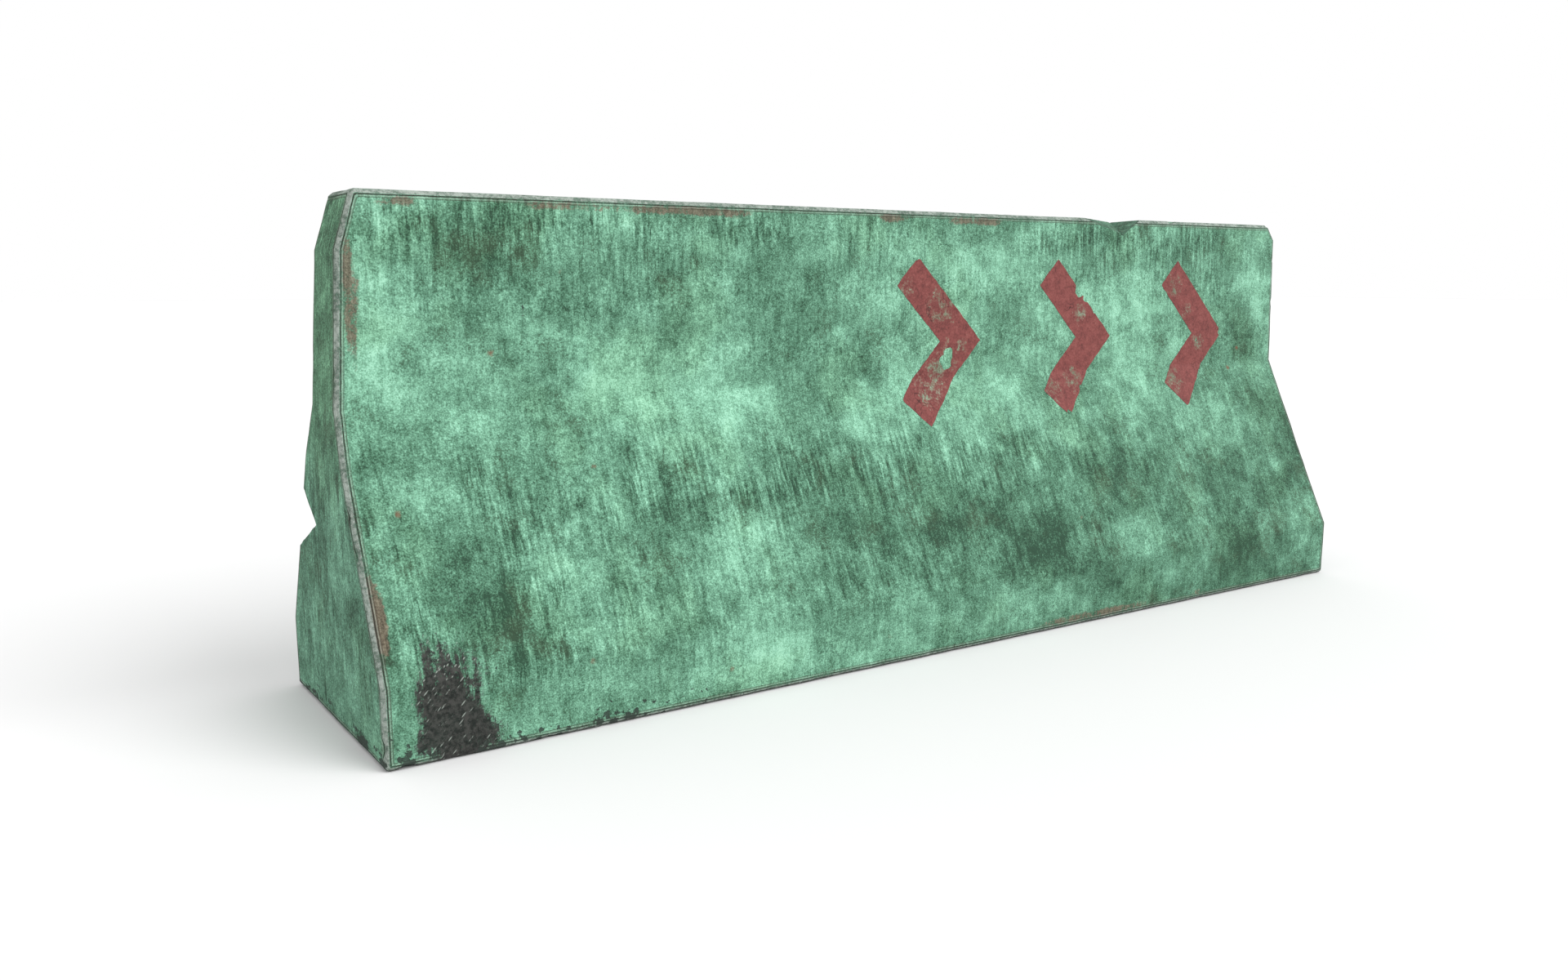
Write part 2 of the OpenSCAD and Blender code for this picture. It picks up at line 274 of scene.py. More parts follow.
def rough_hull(corners, seed):
    """Closed shape round its corners, with faces cut into small facets and roughened."""
    bm = bmesh.new()
    for c in corners:
        bm.verts.new(c)
    bmesh.ops.convex_hull(bm, input=bm.verts)
    bmesh.ops.triangulate(bm, faces=bm.faces)
    while max(e.calc_length() for e in bm.edges) > FACET:
        long = [e for e in bm.edges if e.calc_length() > FACET]
        bmesh.ops.subdivide_edges(bm, edges=long, cuts=1)
        bmesh.ops.triangulate(bm, faces=bm.faces)
    bm.normal_update()
    shift = Vector((seed, seed / 3, 0))
    moves = [(v, v.normal * ROUGHNESS * (fbm(v.co + shift, 22, 4) - 0.3)) for v in bm.verts]
    for v, m in moves:
        v.co += m
    return bm


def wedge(p, q, a, b):
    """Corners of the wedge broken away along the valley p to q, past the rim points a and b."""
    mid = (p + q) / 2
    reach = 2.2
    return [mid + reach * (c - mid) for c in (p, q, a, b)]


def top_spall():
    """Corners of the piece broken out of the top's front edge."""
    tip_z = HEIGHT - SPALL_DROP
    x = SPALL_X
    return wedge(Vector((x + SPALL_TIP, -half_w(tip_z), tip_z)), Vector((x + SPALL_BACK, TOP, HEIGHT)),
                 Vector((x, -TOP, HEIGHT)), Vector((x + SPALL_L, -TOP, HEIGHT)))


def end_notch():
    """Corners of the piece broken out of the left end's back edge."""
    x = left_x(NOTCH_Z)
    return wedge(Vector((x, NOTCH_Y, NOTCH_Z)), Vector((x + NOTCH_L, half_w(NOTCH_Z), NOTCH_Z)),
                 Vector((left_x(NOTCH_TOP), half_w(NOTCH_TOP), NOTCH_TOP)),
                 Vector((left_x(NOTCH_LOW), half_w(NOTCH_LOW), NOTCH_LOW)))


def round_hole(bm, x, z_low, z_high, radius):
    """Adds a closed upright cylinder to bm."""
    rings = []
    for z in (z_low, z_high):
        turn = [2 * math.pi * k / HOLE_SIDES for k in range(HOLE_SIDES)]
        rings.append([bm.verts.new((x + radius * math.cos(t), radius * math.sin(t), z)) for t in turn])
    for k in range(HOLE_SIDES):
        n = (k + 1) % HOLE_SIDES
        bm.faces.new([rings[0][k], rings[0][n], rings[1][n], rings[1][k]])
    bm.faces.new(list(reversed(rings[0])))
    bm.faces.new(rings[1])


def cut(obj, bm, material_index, name):
    """Takes the closed shape bm out of obj; the new faces get that material."""
    for f in bm.faces:
        f.material_index = material_index
    mesh = bpy.data.meshes.new(name)
    bm.to_mesh(mesh)
    bm.free()
    cutter = new_object(name, mesh, obj.data.materials)
    mod = obj.modifiers.new(name, "BOOLEAN")
    mod.object = cutter
    mod.operation = "DIFFERENCE"
    mod.solver = "EXACT"
    bpy.context.view_layer.update()
    result = bpy.data.meshes.new_from_object(obj.evaluated_get(bpy.context.evaluated_depsgraph_get()))
    obj.modifiers.remove(mod)
    obj.data = result
    bpy.data.objects.remove(cutter)


def break_and_drill(obj):
    """Breaks off the spall and the notch, and sinks the plugs' recesses and the sockets' seats."""
    over = 0.02
    for k, corners in enumerate((top_spall(), end_notch())):
        cut(obj, rough_hull(corners, 5.0 + k), BROKEN, f"break_{k}")
    recesses, seats = bmesh.new(), bmesh.new()
    for low, high in SOCKETS:
        x, r = (low.x + high.x) / 2, (high.y - low.y) / 2
        round_hole(recesses, x, HEIGHT - RECESS_L, HEIGHT + over, RECESS_R)
        round_hole(seats, x, low.z, HEIGHT, r + SEAT_GAP)
    cut(obj, recesses, BARE, "recesses")
    cut(obj, seats, BARE, "socket_seats")


# ---- Where the surface is lighter, darker, bare, sooty ----

# Patches on the front, as [x, z, half width, half height, strength]: light above 0 and dark
# below 0, then where the paint is gone, then soot
TONE = [
    (-1.10, 0.87, 0.13, 0.10, -0.55), (-0.86, 0.83, 0.13, 0.09, -0.40), (-1.02, 0.45, 0.10, 0.06, -0.45),
    (-0.38, 0.81, 0.10, 0.08, -0.75), (-0.45, 0.92, 0.12, 0.07, -0.50), (0.10, 0.24, 0.24, 0.09, -0.60),
    (0.25, 0.20, 0.09, 0.08, -0.80), (1.17, 0.63, 0.10, 0.15, -0.75), (1.33, 0.36, 0.07, 0.12, -0.90),
    (0.95, 0.20, 0.09, 0.11, -0.70), (0.56, 0.33, 0.14, 0.09, -0.60), (-0.72, 0.88, 0.08, 0.08, -0.30),
    (-0.20, 0.30, 0.16, 0.07, -0.50), (-0.36, 0.16, 0.13, 0.07, -0.45), (-1.12, 0.20, 0.06, 0.10, -0.80),
    (-1.20, 0.52, 0.13, 0.05, -0.45), (1.10, 0.90, 0.10, 0.08, -0.50), (0.95, 0.93, 0.07, 0.06, -0.40),
    (-0.22, 0.71, 0.10, 0.12, -0.30), (0.42, 0.13, 0.13, 0.06, -0.45), (0.26, 0.76, 0.05, 0.06, -0.20),
    (1.20, 0.25, 0.12, 0.06, -0.35), (-0.75, 0.33, 0.10, 0.07, -0.30), (0.55, 0.94, 0.09, 0.05, -0.45),
    (-0.78, 0.61, 0.08, 0.09, 0.65), (-0.57, 0.61, 0.13, 0.12, 0.75), (-1.00, 0.33, 0.07, 0.06, 0.65),
    (-1.28, 0.78, 0.06, 0.12, 0.55), (0.18, 0.55, 0.20, 0.07, 0.65), (0.76, 0.79, 0.15, 0.08, 0.75),
    (1.25, 0.84, 0.07, 0.09, 0.70), (0.58, 0.19, 0.10, 0.05, 0.70), (1.28, 0.17, 0.08, 0.06, 0.80),
    (-0.58, 0.25, 0.16, 0.10, 0.60), (-0.62, 0.09, 0.14, 0.06, 0.65), (0.75, 0.58, 0.12, 0.10, 0.60),
    (0.20, 0.09, 0.13, 0.06, 0.55), (-0.15, 0.55, 0.14, 0.08, 0.45), (-1.20, 0.66, 0.12, 0.10, 0.45),
    (1.00, 0.44, 0.16, 0.07, 0.45), (-0.02, 0.90, 0.12, 0.05, 0.40), (-0.95, 0.15, 0.11, 0.08, 0.40),
    (-0.40, 0.07, 0.40, 0.07, 0.70), (-1.20, 0.30, 0.040, 0.09, -0.55), (-1.12, 0.20, 0.03, 0.07, -0.35),
    (1.05, 0.07, 0.22, 0.07, -0.60), (0.22, 0.88, 0.12, 0.05, 0.60), (0.42, 0.70, 0.10, 0.10, 0.30),
    (1.22, 0.72, 0.05, 0.09, -0.40), (-1.345, 0.24, 0.018, 0.055, -1.60), (-0.30, 0.44, 0.10, 0.06, -0.30),
    (0.13, 0.86, 0.06, 0.05, 0.60), (1.20, 0.06, 0.05, 0.04, 0.60),
]
BROWN = [
    (-1.319, 0.80, 0.014, 0.115, 1.0), (-1.350, 0.29, 0.010, 0.07, 0.8), (-1.215, 0.978, 0.030, 0.012, 0.9),
    (-1.255, 0.975, 0.012, 0.012, 0.7), (-0.90, 0.980, 0.10, 0.010, 0.8), (-0.62, 0.980, 0.16, 0.011, 1.0),
    (-0.075, 0.982, 0.05, 0.010, 0.9), (0.18, 0.980, 0.10, 0.012, 1.0), (0.40, 0.020, 0.20, 0.012, 0.9),
    (0.80, 0.020, 0.03, 0.010, 0.7), (-1.345, 0.24, 0.014, 0.05, 1.0),
]
SOOT = [
    (-1.245, 0.065, 0.040, 0.080, 1.40), (-1.195, 0.045, 0.030, 0.045, 0.85),
    (-1.250, 0.170, 0.040, 0.060, 0.50), (-1.292, 0.110, 0.020, 0.050, 0.55),
    (-1.300, 0.040, 0.022, 0.020, 0.60), (-1.190, 0.140, 0.016, 0.070, 0.45),
    (-1.165, 0.035, 0.020, 0.025, 0.55),
]

# Bands where rain has drawn streaks, as [height, spread, strength], and two more patches of them
STREAKS = [(0.95, 0.12, 1.0), (0.42, 0.09, 0.9), (0.22, 0.08, 0.45)]
DRAWN = [(-1.16, 0.27, 0.13, 0.15, 0.9), (-0.98, 0.20, 0.10, 0.12, 0.6)]


def blobs(places, x, z, power=2):
    """Sum of soft patches at the points; a higher power gives them steeper rims."""
    total = np.zeros_like(x)
    for cx, cz, rx, rz, strength in places:
        far = ((x - cx) / rx) ** 2 + ((z - cz) / rz) ** 2
        total += strength * np.exp(-0.7 * far ** power)
    return total


def lies_on(dist, side):
    """1 on the ends (side 0) or on the top and underside (side 2), 0 on the front and back."""
    inner, fade = 0.004, 0.006
    return np.clip(1 - (dist[:, side] - inner) / fade, 0, 1) * (dist[:, 1] > dist[:, side])


def tone_at(x, y, z, end):
    """Light and dark patches, with painted shade on the slope below the waist, stronger to the right,
    painted light on the lower ends and painted shade on their upper parts.

    The back has the patches of the front, turned round and fainter.
    """
    back_x = np.where(y > 0, 0.11 - 0.93 * x, x)
    tone = np.where(y < 0, blobs(TONE, x, z), 0.8 * blobs(TONE, back_x, z))
    # Painted shade on the slope below the waist, stronger to the right, which holds down the extra sun that
    # the slope catches
    below = np.clip((0.62 - z) / 0.25, 0, 1)
    to_right = np.clip(0.95 + 0.4 * x, 0.5, 1.05)
    # Painted light on the lower parts of the ends and painted shade on their upper parts
    end_light_and_shade = np.interp(z, [0.45, 0.62], [0.40, -0.28])
    return tone - 0.52 * below * to_right + end * end_light_and_shade


def streak_at(x, z, flat):
    """How far rain has drawn streaks: in bands, less to the right below the waist and on flats."""
    everywhere = 0.15
    streak = everywhere + sum(share * np.exp(-((z - at) / size) ** 2) for at, size, share in STREAKS)
    streak *= np.clip(0.80 - 0.50 * x * (z < WAIST_Z), 0.12, 1)
    return np.minimum((streak + blobs(DRAWN, x, z)) * (1 - 0.8 * flat), 1.0)


def mark_surface(mesh):
    """Stores, for the paint, each point's distance from an arris and what patches it lies in."""
    p = points_of(mesh)
    x, y, z = p.T
    dist, _ = inset_distances(p)
    fade = 0.02
    front = np.clip(0.5 - y / fade, 0, 1)
    end, flat = lies_on(dist, 0), lies_on(dist, 2)
    store(mesh, "edge", np.sort(dist, axis=1)[:, 1])
    store(mesh, "tone", tone_at(x, y, z, end))
    store(mesh, "brown", blobs(BROWN, x, z, 3) * front)
    store(mesh, "soot", blobs(SOOT, x, z, 1) * front)
    store(mesh, "end", end)
    store(mesh, "across", np.maximum(end, flat))
    store(mesh, "streak", streak_at(x, z, flat))


# ---- Node helpers ----

class Nodes:
    """Short ways to add shader nodes to one tree."""

    def __init__(self, tree):
        self.tree = tree

    def add(self, kind, **values):
        """A new node with those properties."""
        node = self.tree.nodes.new(kind)
        for name, value in values.items():
            setattr(node, name, value)
        return node

    def put(self, socket, value):
        """Links or sets an input; None leaves it as it is."""
        if isinstance(value, bpy.types.NodeSocket):
            self.tree.links.new(value, socket)
        elif value is not None:
            socket.default_value = value

    def math(self, operation, a, b=None, c=None):
        """A maths node, by Blender's name for the operation."""
        node = self.add("ShaderNodeMath", operation=operation)
        for socket, value in zip(node.inputs, (a, b, c)):
            self.put(socket, value)
        return node.outputs[0]

    def ramp(self, value, low, high, to_low=0.0, to_high=1.0):
        """Smooth step of value between low and high."""
        node = self.add("ShaderNodeMapRange", interpolation_type="SMOOTHSTEP")
        for socket, v in zip(node.inputs, (value, low, high, to_low, to_high)):
            self.put(socket, v)
        return node.outputs[0]

    def less(self, value, mask, share):
        """The value less a share of the mask."""
        return self.math("SUBTRACT", value, self.math("MULTIPLY", mask, share))

    def total(self, first, second):
        """Sum of two values, each given with its share."""
        return self.math("ADD", self.math("MULTIPLY", *first), self.math("MULTIPLY", *second))

    def along(self, axis):
        """The object coordinate along X, Y or Z."""
        apart = self.add("ShaderNodeSeparateXYZ")
        self.put(apart.inputs[0], self.place())
        return apart.outputs[axis]

    def centred(self, value, share, middle=0.5):
        """A share of how far the value lies from its middle."""
        return self.math("MULTIPLY", self.math("SUBTRACT", value, middle), share)

    def mix(self, share, a, b, blend="MIX"):
        """Goes from colour a to colour b as share goes from 0 to 1."""
        node = self.add("ShaderNodeMix", data_type="RGBA", blend_type=blend)
        self.put(node.inputs[0], share)
        self.put(node.inputs[6], a)
        self.put(node.inputs[7], b)
        return node.outputs[2]

    def place(self, scale=(1, 1, 1), turn=(0, 0, 0), shift=(0, 0, 0), kind="POINT"):
        """Object coordinates, stretched and turned; kind TEXTURE turns first and divides by scale."""
        node = self.add("ShaderNodeMapping", vector_type=kind)
        self.put(node.inputs["Vector"], self.add("ShaderNodeTexCoord").outputs["Object"])
        self.put(node.inputs["Scale"], scale)
        self.put(node.inputs["Rotation"], turn)
        self.put(node.inputs["Location"], shift)
        return node.outputs[0]

    def noise(self, where, scale, detail=4.0, rough=0.55, warp=0.0):
        """Noise from 0 to 1, with about that many waves per metre."""
        node = self.add("ShaderNodeTexNoise")
        self.put(node.inputs["Vector"], where)
        self.put(node.inputs["Scale"], scale)
        self.put(node.inputs["Detail"], detail)
        self.put(node.inputs["Roughness"], rough)
        self.put(node.inputs["Distortion"], warp)
        return node.outputs[0]

    def cells(self, where, scale, feature="F1"):
        """Distances in a pattern of random cells."""
        node = self.add("ShaderNodeTexVoronoi", feature=feature)
        self.put(node.inputs["Vector"], where)
        self.put(node.inputs["Scale"], scale)
        return node.outputs["Distance"]

    def field(self, name):
        """A number stored with the mesh."""
        return self.add("ShaderNodeAttribute", attribute_name=name).outputs["Fac"]

    def bump(self, height, distance, strength=1.0, normal=None):
        """The normal, bent by a height; distance is its depth in metres."""
        node = self.add("ShaderNodeBump")
        self.put(node.inputs["Height"], height)
        self.put(node.inputs["Distance"], distance)
        self.put(node.inputs["Strength"], strength)
        self.put(node.inputs["Normal"], normal)
        return node.outputs[0]

    def colours(self, value, stops):
        """A colour for each value, from stops of [value, colour]."""
        node = self.add("ShaderNodeValToRGB")
        self.put(node.inputs[0], value)
        ramp = node.color_ramp
        while len(ramp.elements) < len(stops):
            ramp.elements.new(0.5)
        for element, (place, colour) in zip(ramp.elements, stops):
            element.position = place
            element.color = colour
        return node.outputs[0]


def material(name, colour, roughness, normal=None, metallic=0.0, specular=0.5):
    """A material from a function that is given the node helper."""
    mat = bpy.data.materials.new(name)
    mat.use_nodes = True
    n = Nodes(mat.node_tree)
    shader = mat.node_tree.nodes["Principled BSDF"]
    n.put(shader.inputs["Metallic"], metallic)
    n.put(shader.inputs["Specular IOR Level"], specular)
    n.put(shader.inputs["Base Color"], colour(n))
    n.put(shader.inputs["Roughness"], roughness(n) if callable(roughness) else roughness)
    if normal:
        n.put(shader.inputs["Normal"], normal(n))
    return mat


# ---- Weathered green paint ----

GREENS = [
    (0.02, rgb(43, 78, 58)), (0.24, rgb(75, 121, 95)), (0.42, rgb(99, 150, 123)),
    (0.56, rgb(120, 175, 146)), (0.74, rgb(144, 206, 174)), (0.98, rgb(178, 239, 208)),
]
OLIVE_TINT, WARM_TINT = (1.0, 1.0, 0.88, 1), (1.01, 1.0, 0.96, 1)
# The third colour is dirt with painted contact shadow along the foot
STAIN, RUST, FOOT_DIRT_AND_SHADE = rgb(84, 90, 66), rgb(132, 88, 66), rgb(48, 48, 44)
SOOT_DARK, SOOT_PALE = rgb(13, 12, 12), rgb(66, 64, 62)
SOOT_FLECK, DOT_DARK = rgb(150, 158, 150), rgb(50, 60, 54)
RUBBED_DARK, RUBBED_PALE = rgb(100, 112, 103), rgb(176, 185, 177)
# Lines along an arris: [distance from it, half width, strength, colour]
ARRIS_LINES = [(0.0104, 0.0020, 1.0, rgb(52, 52, 45)), (0.0132, 0.0013, 0.55, rgb(160, 168, 156)),
               (0.0158, 0.0014, 0.65, rgb(70, 64, 54))]
BARE_TONES = [(0.42, rgb(62, 56, 46)), (0.54, rgb(112, 98, 82)), (0.66, rgb(148, 134, 116))]
# How much each noise adds to the tone, everywhere and in streaks
GRAIN_SHARES = {"large": 0.72, "medium": 1.10, "fine": 1.08, "grain": 1.15}
STREAK_SHARES = {"runs": 1.10, "threads": 1.10}


def paint_tree():
    """Node group: colour, roughness and height of weathered green paint on concrete."""
    tree = bpy.data.node_groups.new("weathered_paint", "ShaderNodeTree")
    for name, kind in (("Colour", "NodeSocketColor"), ("Roughness", "NodeSocketFloat"),
                       ("Height", "NodeSocketFloat"), ("Grain", "NodeSocketFloat")):
        tree.interface.new_socket(name, in_out="OUTPUT", socket_type=kind)
    n = Nodes(tree)
    out = n.add("NodeGroupOutput")
    grains = paint_grains(n)
    cracks, soot, dots = crack_mask(n), soot_mask(n, grains), dot_mask(n)
    tone = paint_tone(n, grains, cracks)
    colour = paint_colour(n, grains, tone)
    colour = n.mix(soot, colour, soot_colour(n))
    colour = n.mix(dots, colour, DOT_DARK)
    rough = n.math("MULTIPLY_ADD", grains["fine"], 0.25, 0.68)
    rough = n.less(rough, soot, 0.15)
    height = n.total((grains["fine"], 0.9), (grains["medium"], 0.8))
    height = n.less(height, cracks, 0.35)
    height = n.less(height, dots, 0.9)
    for socket, value in zip(out.inputs, (colour, rough, height, grains["grain"])):
        n.put(socket, value)
    return tree


def paint_grains(n):
    """The noises that the paint is mixed from, by name, from coarse to fine."""
    here, upright = n.place(), upright_place(n)
    return {
        "large": n.noise(here, 7.5, 4, 0.6, 0.3),
        "medium": n.noise(here, 17, 6, 0.72),
        "fine": n.noise(here, 120, 5, 0.80),
        "grain": n.noise(here, 330, 2, 0.6),
        "runs": n.noise(upright, 48, 5, 0.68),
        "threads": n.noise(upright, 125, 3, 0.6),
    }


def paint_tone(n, grains, cracks):
    """How light the paint is, from 0 to 1: patches with painted light and shade, grain, streaks of rain,
    cracks and painted shade on the ends.
    """
    where = n.ramp(n.noise(n.place(shift=(4, 0, 2)), 6, 4, 0.6), 0.38, 0.58)
    wet = n.math("MULTIPLY", n.field("streak"), where)
    level, field_share = 0.50, 0.24
    streaked = n.math("MULTIPLY_ADD", wet, 0.85, 0.28)
    tone = n.math("MULTIPLY_ADD", n.field("tone"), field_share, level)
    for name, share in GRAIN_SHARES.items():
        tone = n.math("ADD", tone, n.centred(grains[name], share))
    for name, share in STREAK_SHARES.items():
        strength = n.centred(grains[name], share, 0.51)
        tone = n.math("ADD", tone, n.math("MULTIPLY", strength, streaked))
    drips = n.math("MULTIPLY", n.ramp(grains["runs"], 0.42, 0.33), wet)
    # The share of the end faces here is painted shade on the ends
    darker = [(drips, 0.12), (stroke_mask(n, wet), 0.26), (n.field("end"), 0.08), (cracks, 0.14)]
    for mask, share in darker:
        tone = n.less(tone, mask, share)
    return tone


def paint_colour(n, grains, tone):
    """Colour of the paint, its stains and what shows where it is gone."""
    medium, fine = grains["medium"], grains["fine"]
    colour = n.colours(tone, GREENS)
    colour = n.mix(high_end(n), colour, OLIVE_TINT, "MULTIPLY")
    drift = n.ramp(n.noise(n.place(shift=(7, 3, 1)), 5, 3, 0.6), 0.50, 0.66)
    colour = n.mix(drift, colour, WARM_TINT, "MULTIPLY")
    stained = n.ramp(n.noise(n.place(shift=(2, 8, 6)), 8, 4, 0.6), 0.52, 0.66, 0, 0.22)
    colour = n.mix(n.math("MULTIPLY", n.ramp(tone, 0.44, 0.28), stained), colour, STAIN)
    colour = n.mix(rust_spots(n), colour, RUST)
    colour = n.mix(brown_mask(n, medium, fine), colour, bare_colour(n, grains))
    return edge_wear(n, colour, fine, medium)


def stroke_mask(n, wet):
    """Thin dark strokes that run down the face, broken up, where rain has drawn streaks."""
    lines = n.math("ABSOLUTE", n.math("SUBTRACT", n.noise(upright_place(n), 62, 2, 0.5), 0.5))
    broken = n.ramp(n.noise(n.place(scale=(1, 1, 0.5), shift=(1, 5, 3)), 26, 3, 0.6), 0.46, 0.58)
    return n.math("MULTIPLY", n.ramp(lines, 0.030, 0.006), n.math("MULTIPLY", broken, wet))


def high_end(n):
    """The upper half of the end faces."""
    return n.math("MULTIPLY", n.field("end"), n.ramp(n.along("Z"), 0.40, 0.65))


def upright_place(n):
    """Coordinates for streaks: along the face and slow in height, and in depth on ends and top."""
    joined = n.add("ShaderNodeCombineXYZ")
    n.put(joined.inputs[0], n.along("X"))
    n.put(joined.inputs[1], n.math("MULTIPLY", n.along("Y"), n.field("across")))
    n.put(joined.inputs[2], n.math("MULTIPLY", n.along("Z"), 0.12))
    return joined.outputs[0]


def crack_mask(n):
    """Thin wandering cracks, in patches."""
    bent = n.add("ShaderNodeVectorMath", operation="ADD")
    shift = n.add("ShaderNodeTexNoise")
    n.put(shift.inputs["Vector"], n.place())
    n.put(shift.inputs["Scale"], 14)
    scaled = n.add("ShaderNodeVectorMath", operation="SCALE")
    n.put(scaled.inputs[0], shift.outputs["Color"])
    n.put(scaled.inputs["Scale"], 0.22)
    n.put(bent.inputs[0], n.place(scale=(1, 1, 0.7)))
    n.put(bent.inputs[1], scaled.outputs[0])
    lines = n.ramp(n.cells(bent.outputs[0], 7, "DISTANCE_TO_EDGE"), 0.016, 0.004)
    where = n.ramp(n.noise(n.place(shift=(9, 2, 5)), 6, 2), 0.55, 0.66)
    return n.math("MULTIPLY", lines, where)


def brown_mask(n, medium, fine):
    """Strips where the paint is gone."""
    ragged = n.total((medium, 1.8), (fine, 1.8))
    return n.ramp(n.math("ADD", n.field("brown"), ragged), 2.32, 2.72, 0, 0.88)


def rust_spots(n):
    """A few small rust stains, far apart."""
    spots = n.math("ADD", n.cells(n.place(), 8), n.centred(n.noise(n.place(), 150, 3, 0.6), 0.10))
    where = n.ramp(n.noise(n.place(shift=(3, 3, 9)), 5, 1), 0.50, 0.56)
    return n.math("MULTIPLY", n.ramp(spots, 0.075, 0.025), n.math("MULTIPLY", where, 0.8))


def bare_colour(n, grains):
    """Brownish concrete where the paint is gone."""
    speckle = n.total((grains["grain"], 0.3), (grains["fine"], 0.4))
    return n.colours(n.math("MULTIPLY_ADD", grains["threads"], 0.4, speckle), BARE_TONES)


def edge_wear(n, colour, fine, medium):
    """Rubbed light arrises between thin dark lines, and dirt with painted contact shadow along the foot."""
    edge = n.math("ADD", n.field("edge"), n.centred(medium, 0.0035))
    strip = n.ramp(edge, 0.0094, 0.0078)
    patchy = n.ramp(n.total((fine, 0.6), (medium, 0.5)), 0.40, 0.58)
    pale = n.mix(n.ramp(n.total((fine, 0.6), (medium, 0.4)), 0.40, 0.60), RUBBED_DARK, RUBBED_PALE)
    colour = n.mix(n.math("MULTIPLY", strip, n.math("MULTIPLY_ADD", patchy, 0.35, 0.6)), colour, pale)
    drawn = n.math("MULTIPLY_ADD", patchy, 0.7, 0.3)
    for middle, half, strength, line_colour in ARRIS_LINES:
        line = n.ramp(n.math("ABSOLUTE", n.math("SUBTRACT", edge, middle)), half, half * 0.3)
        share = n.math("MULTIPLY", line, n.math("MULTIPLY", drawn, strength))
        colour = n.mix(share, colour, line_colour)
    # Dirt and painted contact shadow along the foot
    return n.mix(foot_dirt_and_shade(n, fine), colour, FOOT_DIRT_AND_SHADE)


def foot_dirt_and_shade(n, fine):
    """Dirt and painted contact shadow along the lowest few millimetres."""
    return n.ramp(n.math("ADD", n.along("Z"), n.centred(fine, 0.012)), 0.0085, 0.0020, 0, 0.75)


def soot_mask(n, grains):
    """The black splash at the left foot, ragged and drawn out upwards."""
    ragged = n.total((grains["medium"], 1.4), (grains["fine"], 2.0))
    ragged = n.math("MULTIPLY_ADD", n.math("SUBTRACT", 1.0, grains["runs"]), 2.2, ragged)
    return n.ramp(n.math("ADD", n.field("soot"), ragged), 3.30, 3.66, 0, 0.97)


def soot_colour(n):
    """Black with paler grain and slanting scratches."""
    slanted = n.place(scale=(1, 1, 5), turn=(0, 0.75, 0), kind="TEXTURE")
    flecks = n.ramp(n.cells(slanted, 200), 0.30, 0.16)
    where = n.ramp(n.noise(n.place(), 60, 3), 0.42, 0.54)
    dark = n.mix(n.ramp(n.noise(n.place(), 90, 5, 0.7), 0.38, 0.62), SOOT_DARK, SOOT_PALE)
    return n.mix(n.math("MULTIPLY", flecks, where), dark, SOOT_FLECK)


def dot_mask(n):
    """Splashed dark dots along the foot of the left half."""
    x, z = n.along("X"), n.along("Z")
    band = n.math("MULTIPLY", n.ramp(z, 0.060, 0.008), n.ramp(x, -0.50, -1.00))
    size = n.math("MULTIPLY", band, n.ramp(n.noise(n.place(), 22, 2), 0.40, 0.60, 0.10, 0.62))
    dots = n.cells(n.place(scale=(1, 0.2, 1)), 58)
    dots = n.math("ADD", dots, n.centred(n.noise(n.place(), 160, 3, 0.6), 1.1))
    spot = n.ramp(n.math("SUBTRACT", dots, size), 0.05, -0.05)
    return n.math("MULTIPLY", spot, n.math("MULTIPLY", n.ramp(z, 0.085, 0.06), 0.9))


def painted(n, tree):
    """The paint group in a material, once."""
    for node in n.tree.nodes:
        if node.type == "GROUP":
            return node
    return n.add("ShaderNodeGroup", node_tree=tree)


def green_concrete(tree):
    """The paint on the cast surface; it is smoother along the arrises."""
    def normal(n):
        group = painted(n, tree)
        fine = n.bump(group.outputs["Grain"], 0.0006, 0.5)
        strength = n.ramp(n.field("edge"), 0.006, 0.013, 0.30, 0.75)
        return n.bump(group.outputs["Height"], 0.0028, strength, fine)
    return material("painted_concrete", lambda n: painted(n, tree).outputs["Colour"],
                    lambda n: painted(n, tree).outputs["Roughness"], normal, specular=0.25)


def broken_concrete(tree):
    """Old breaks: painted over and dirty, with the stones showing through."""
    stone_scale = 70

    def colour(n):
        base = painted(n, tree).outputs["Colour"]
        stones = n.cells(n.place(), stone_scale)
        dirt = n.mix(n.ramp(n.noise(n.place(), 45, 5, 0.7), 0.42, 0.62), rgb(52, 70, 60), rgb(96, 128, 108))
        aged = n.mix(0.55, base, dirt)
        return n.mix(n.ramp(stones, 0.30, 0.16, 0, 0.35), aged, rgb(128, 124, 112))

    def normal(n):
        stones = n.bump(n.ramp(n.cells(n.place(), stone_scale), 0.45, 0.1), 0.003, 0.6)
        return n.bump(n.noise(n.place(), 120, 5, 0.7), 0.004, 0.8, stones)
    return material("broken_concrete", colour, 0.9, normal, specular=0.2)


def cast_concrete():
    """Bare grey concrete in the recesses."""
    def colour(n):
        return n.colours(n.noise(n.place(), 140, 5, 0.7),
                         [(0.3, rgb(96, 98, 92)), (0.5, rgb(138, 140, 132)), (0.7, rgb(168, 168, 158))])
    return material("bare_concrete", colour, 0.9, lambda n: n.bump(n.noise(n.place(), 300, 4, 0.7), 0.001))


# ---- Concrete body ----

def concrete_body(tree):
    """The cast block with its breaks and recesses, in place of the CAD body."""
    mesh = cast_block()
    obj = new_object("concrete_visual", mesh,
                     [green_concrete(tree), broken_concrete(tree), cast_concrete()])
    break_and_drill(obj)
    mark_surface(obj.data)
    shade(obj.data)
    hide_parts("concrete_body")
    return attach(obj, "barrier")


# ---- Red markings ----

